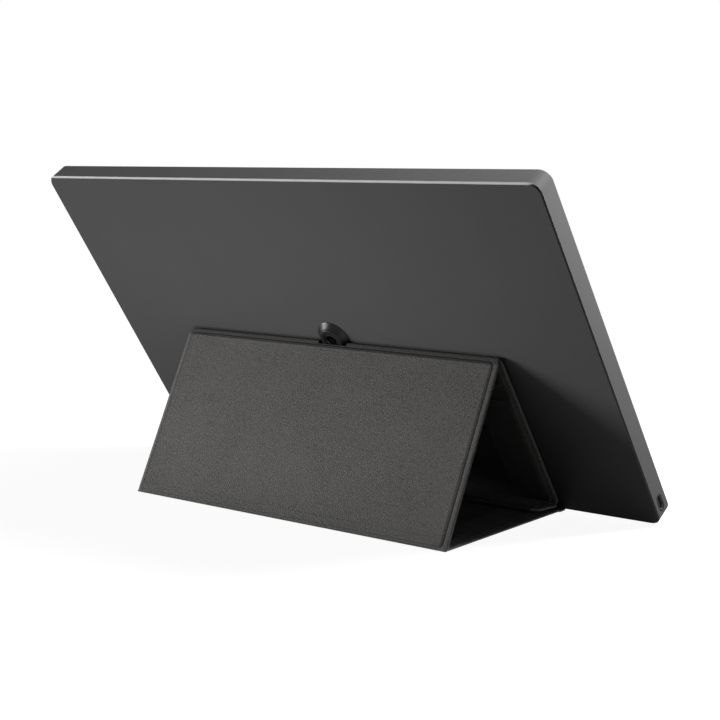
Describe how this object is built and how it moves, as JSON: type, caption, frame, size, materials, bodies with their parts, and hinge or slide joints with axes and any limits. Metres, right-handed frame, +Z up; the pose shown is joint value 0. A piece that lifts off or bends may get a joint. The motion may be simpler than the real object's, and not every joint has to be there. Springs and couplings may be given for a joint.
{
  "type": "portable monitor with stand cover",
  "caption": "Thin portable monitor leaning on its fold-up leatherette cover, which makes a three-sided stand behind it, with a raised tripod socket on its back.",
  "frame": {"origin": "on the table, under the centre of the whole object's bounding box", "axes": "+Z up, the screen faces -Y and leans back, the stand is on the +Y side, +X is the monitor's width, to the left when seen from behind"},
  "size_m": [0.3603, 0.131, 0.1976],
  "materials": {
    "housing": "fine matt, anodised dark grey",
    "bezel": "matt",
    "screen": "anti-glare",
    "film": "satin",
    "guide": "clear acrylic",
    "tray": "mill finish",
    "circuit": "solder mask",
    "chip": "matt",
    "steel": "satin",
    "pad": "soft",
    "flex": "satin",
    "key": "matt",
    "boss": "gloss",
    "insert": "turned",
    "magnet": "nickel plated",
    "leather": "fine grain, matt",
    "lining": "microfibre",
    "board": "pressed fibre board"
  },
  "bodies": {
    "monitor": {"rear_housing": "housing", "front_bezel": "bezel", "display_cell": "screen", "diffuser_films": "film", "light_guide": "guide", "reflector_film": "film", "led_strip": "film", "backlight_tray": "tray", "timing_board": "circuit", "main_board": "circuit", "board_parts": "chip", "board_shield": "steel", "heat_pad": "pad", "ribbon_cable": "flex", "side_board": "circuit", "side_cable": "flex", "usb_c_receptacle": "steel", "mini_hdmi_receptacle": "steel", "key_switches": "steel", "socket_boss": "boss", "socket_insert": "insert", "socket_nut": "steel", "holding_magnets": "magnet", "board_screws": "steel"},
    "cover_back": {"back_panel_skin": "leather", "long_back_board": "board", "short_back_board": "board", "back_panel_lining": "lining", "back_panel_magnets": "magnet", "apex_fold": "leather", "corner_fold": "leather"},
    "cover_rear": {"rear_panel_skin": "leather", "rear_board": "board", "rear_panel_lining": "lining", "rear_fold": "leather"},
    "cover_base": {"base_panel_skin": "leather", "base_lip": "leather", "base_board": "board", "base_panel_lining": "lining", "base_magnets": "magnet"},
    "cover_flap": {"flap_skin": "leather", "flap_board": "board", "flap_lining": "lining", "flap_magnets": "magnet"},
    "power_key": {"power_key": "key"},
    "menu_key_low": {"menu_key_low": "key"},
    "menu_key_high": {"menu_key_high": "key"}
  },
  "joints": [
    {"name": "cover_pull_off", "type": "slide", "parent": "monitor", "child": "cover_back", "axis": [0, 1, 0], "range_m": [0, 0.06]},
    {"name": "apex_fold", "type": "hinge", "parent": "cover_back", "child": "cover_rear", "pos_m": [0, 0.0071, 0.0919], "axis": [1, 0, 0], "range_deg": [0, 70], "deforming": ["apex_fold"]},
    {"name": "rear_fold", "type": "hinge", "parent": "cover_rear", "child": "cover_base", "pos_m": [0, 0.05332, 0.003], "axis": [1, 0, 0], "range_deg": [0, 117], "deforming": ["rear_fold"]},
    {"name": "flap_fold", "type": "hinge", "parent": "cover_back", "child": "cover_flap", "pos_m": [0, -0.04743, 0.0063], "axis": [1, 0, 0], "range_deg": [-3.4, 46], "deforming": ["corner_fold"]},
    {"name": "power_key_press", "type": "slide", "parent": "monitor", "child": "power_key", "axis": [-1, 0, 0], "range_m": [0, 0.0004], "stiffness_N_per_m": 1500, "springref_m": -0.0005},
    {"name": "menu_key_low_press", "type": "slide", "parent": "monitor", "child": "menu_key_low", "axis": [-1, 0, 0], "range_m": [0, 0.0004], "stiffness_N_per_m": 1500, "springref_m": -0.0005},
    {"name": "menu_key_high_press", "type": "slide", "parent": "monitor", "child": "menu_key_high", "axis": [-1, 0, 0], "range_m": [0, 0.0004], "stiffness_N_per_m": 1500, "springref_m": -0.0005}
  ]
}
